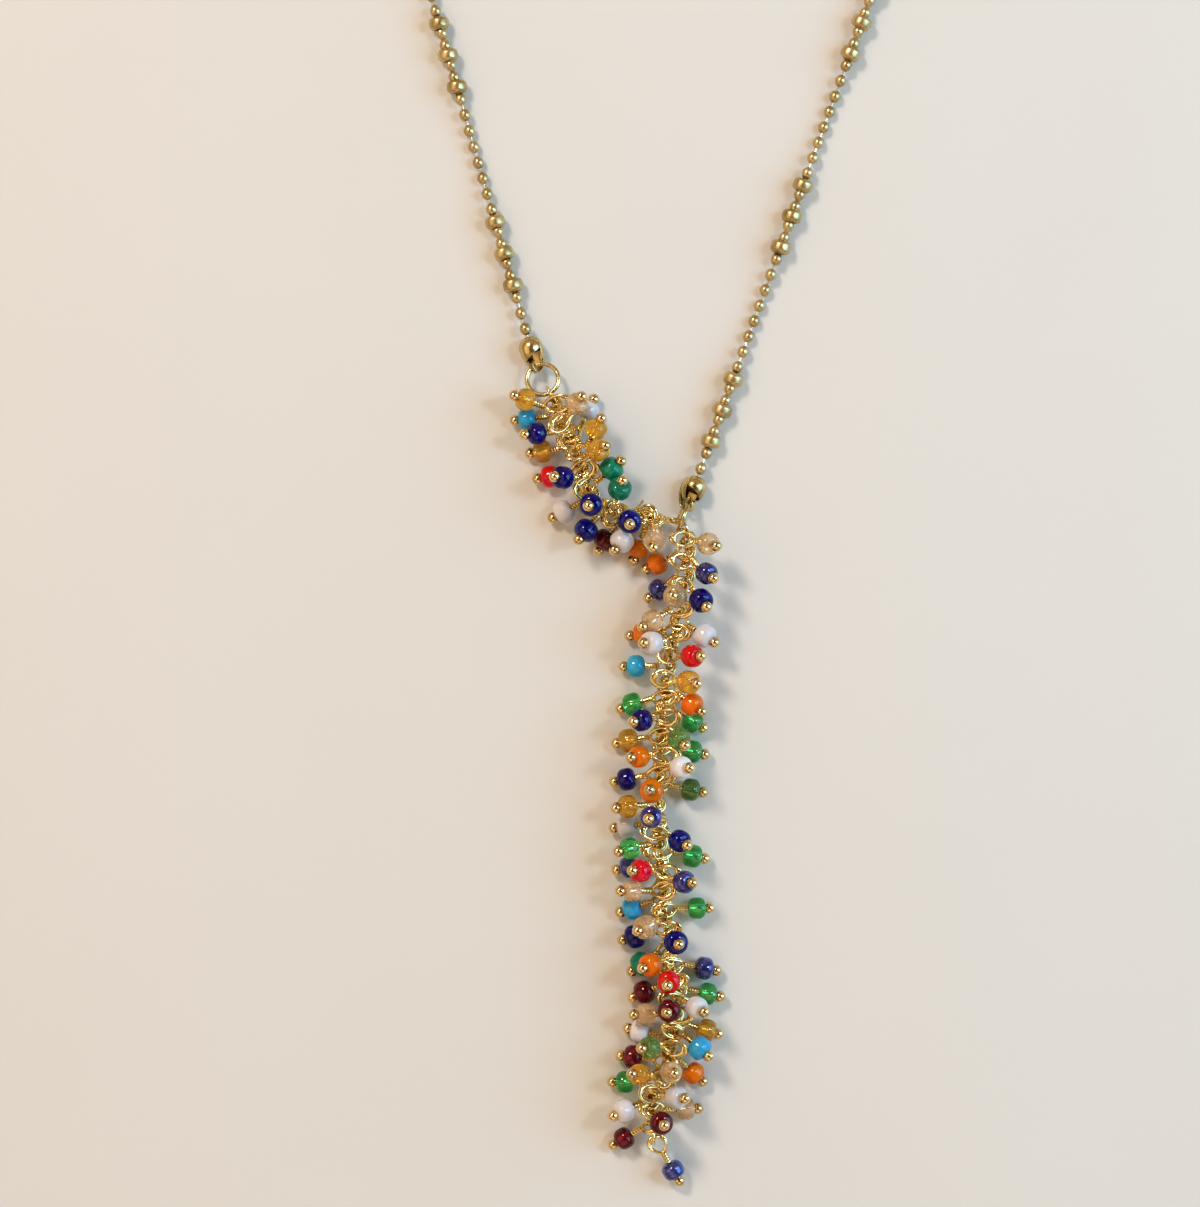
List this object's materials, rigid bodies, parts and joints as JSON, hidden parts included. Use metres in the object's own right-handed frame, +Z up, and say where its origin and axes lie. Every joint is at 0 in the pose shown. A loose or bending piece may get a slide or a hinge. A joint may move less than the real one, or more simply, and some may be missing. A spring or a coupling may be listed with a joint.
{
  "type": "lariat necklace",
  "caption": "Gold-tone ball chain necklace with a long front drop crowded with pins that carry coloured glass seed beads, lying flat.",
  "frame": {"origin": "middle of the bounding box, on the surface the necklace lies on", "axes": "+Y from the free end of the drop towards the clasp, +X to the right as seen from above, +Z up from the surface"},
  "size_m": [0.0916, 0.2555, 0.0086],
  "materials": {
    "ball_chain": "polished gold tone with an antique olive cast",
    "rondelles": "polished gold tone",
    "findings": "polished gold tone",
    "drop_chain": "polished light gold tone",
    "pins": "polished light gold tone",
    "sky_glass": "opaque light blue glass",
    "navy_glass": "opaque dark blue glass",
    "steel_glass": "blue glass with a lustre coat",
    "red_glass": "opaque red glass",
    "garnet_glass": "dark translucent red glass",
    "teal_glass": "opaque teal glass",
    "green_glass": "clear green glass with a bright lining",
    "olive_glass": "clear olive glass",
    "orange_glass": "clear orange glass",
    "amber_glass": "clear amber glass with a bright lining",
    "peach_glass": "clear champagne glass",
    "white_glass": "white opal glass"
  },
  "bodies": {
    "root": {"ball_chain_left": "ball_chain", "ball_chain_right": "ball_chain", "rondelles_left": "rondelles", "rondelles_right": "rondelles", "bead_tip_left": "findings", "bead_tip_right": "findings", "clasp_tip_left": "findings", "clasp_tip_right": "findings", "jump_ring_left": "findings", "jump_ring_right": "findings", "clasp_ring_left": "findings", "clasp_ring_right": "findings", "clasp": "findings", "drop_link_top": "findings", "drop_link_end": "findings", "drop_chain": "drop_chain", "head_pins": "pins", "beads_sky": "sky_glass", "beads_navy": "navy_glass", "beads_steel": "steel_glass", "beads_red": "red_glass", "beads_garnet": "garnet_glass", "beads_teal": "teal_glass", "beads_green": "green_glass", "beads_olive": "olive_glass", "beads_orange": "orange_glass", "beads_amber": "amber_glass", "beads_peach": "peach_glass", "beads_white": "white_glass"}
  },
  "joints": []
}
